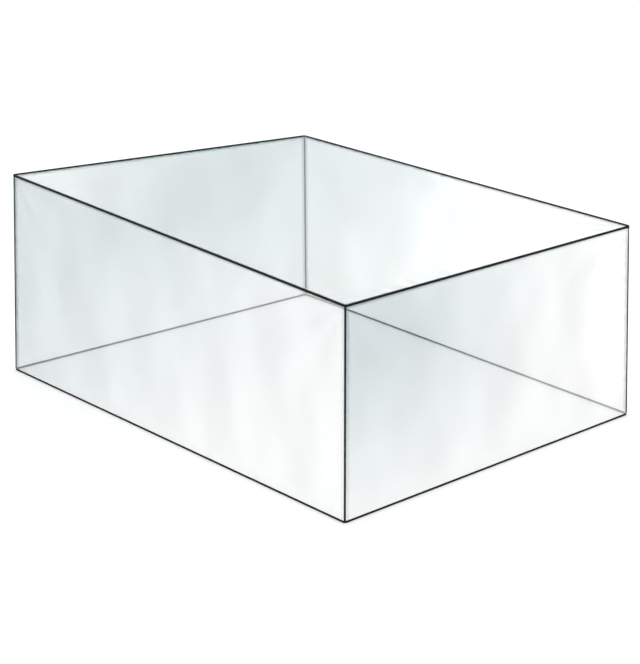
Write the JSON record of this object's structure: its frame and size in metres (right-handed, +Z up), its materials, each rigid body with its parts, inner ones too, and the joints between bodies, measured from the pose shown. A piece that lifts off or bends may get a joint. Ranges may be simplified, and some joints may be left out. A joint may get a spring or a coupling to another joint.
{
  "type": "patio furniture cover",
  "caption": "Fitted box cover of clear film for a garden table and chairs, with black piped seams and a bound hem, open underneath.",
  "frame": {"origin": "against the underside of the top panel in its middle, where the covered furniture holds the cover up", "axes": "+X along the long walls, +Y along the short walls towards the back, +Z up; the hem's lower edge lies in the plane z = -1.0655"},
  "size_m": [2.8173, 2.1675, 1.1367],
  "materials": {
    "clear_film": "clear, faintly blue-grey and milky soft film, glossy",
    "black_tape": "black woven polyester tape, matt"
  },
  "bodies": {
    "root": {"top_panel": "clear_film", "wall_front": "clear_film", "wall_right": "clear_film", "wall_back": "clear_film", "wall_left": "clear_film", "top_piping_front": "black_tape", "top_piping_right": "black_tape", "top_piping_back": "black_tape", "top_piping_left": "black_tape", "corner_piping_front_left": "black_tape", "corner_piping_front_right": "black_tape", "corner_piping_back_right": "black_tape", "corner_piping_back_left": "black_tape", "hem_binding_front": "black_tape", "hem_binding_right": "black_tape", "hem_binding_back": "black_tape", "hem_binding_left": "black_tape"}
  },
  "joints": []
}
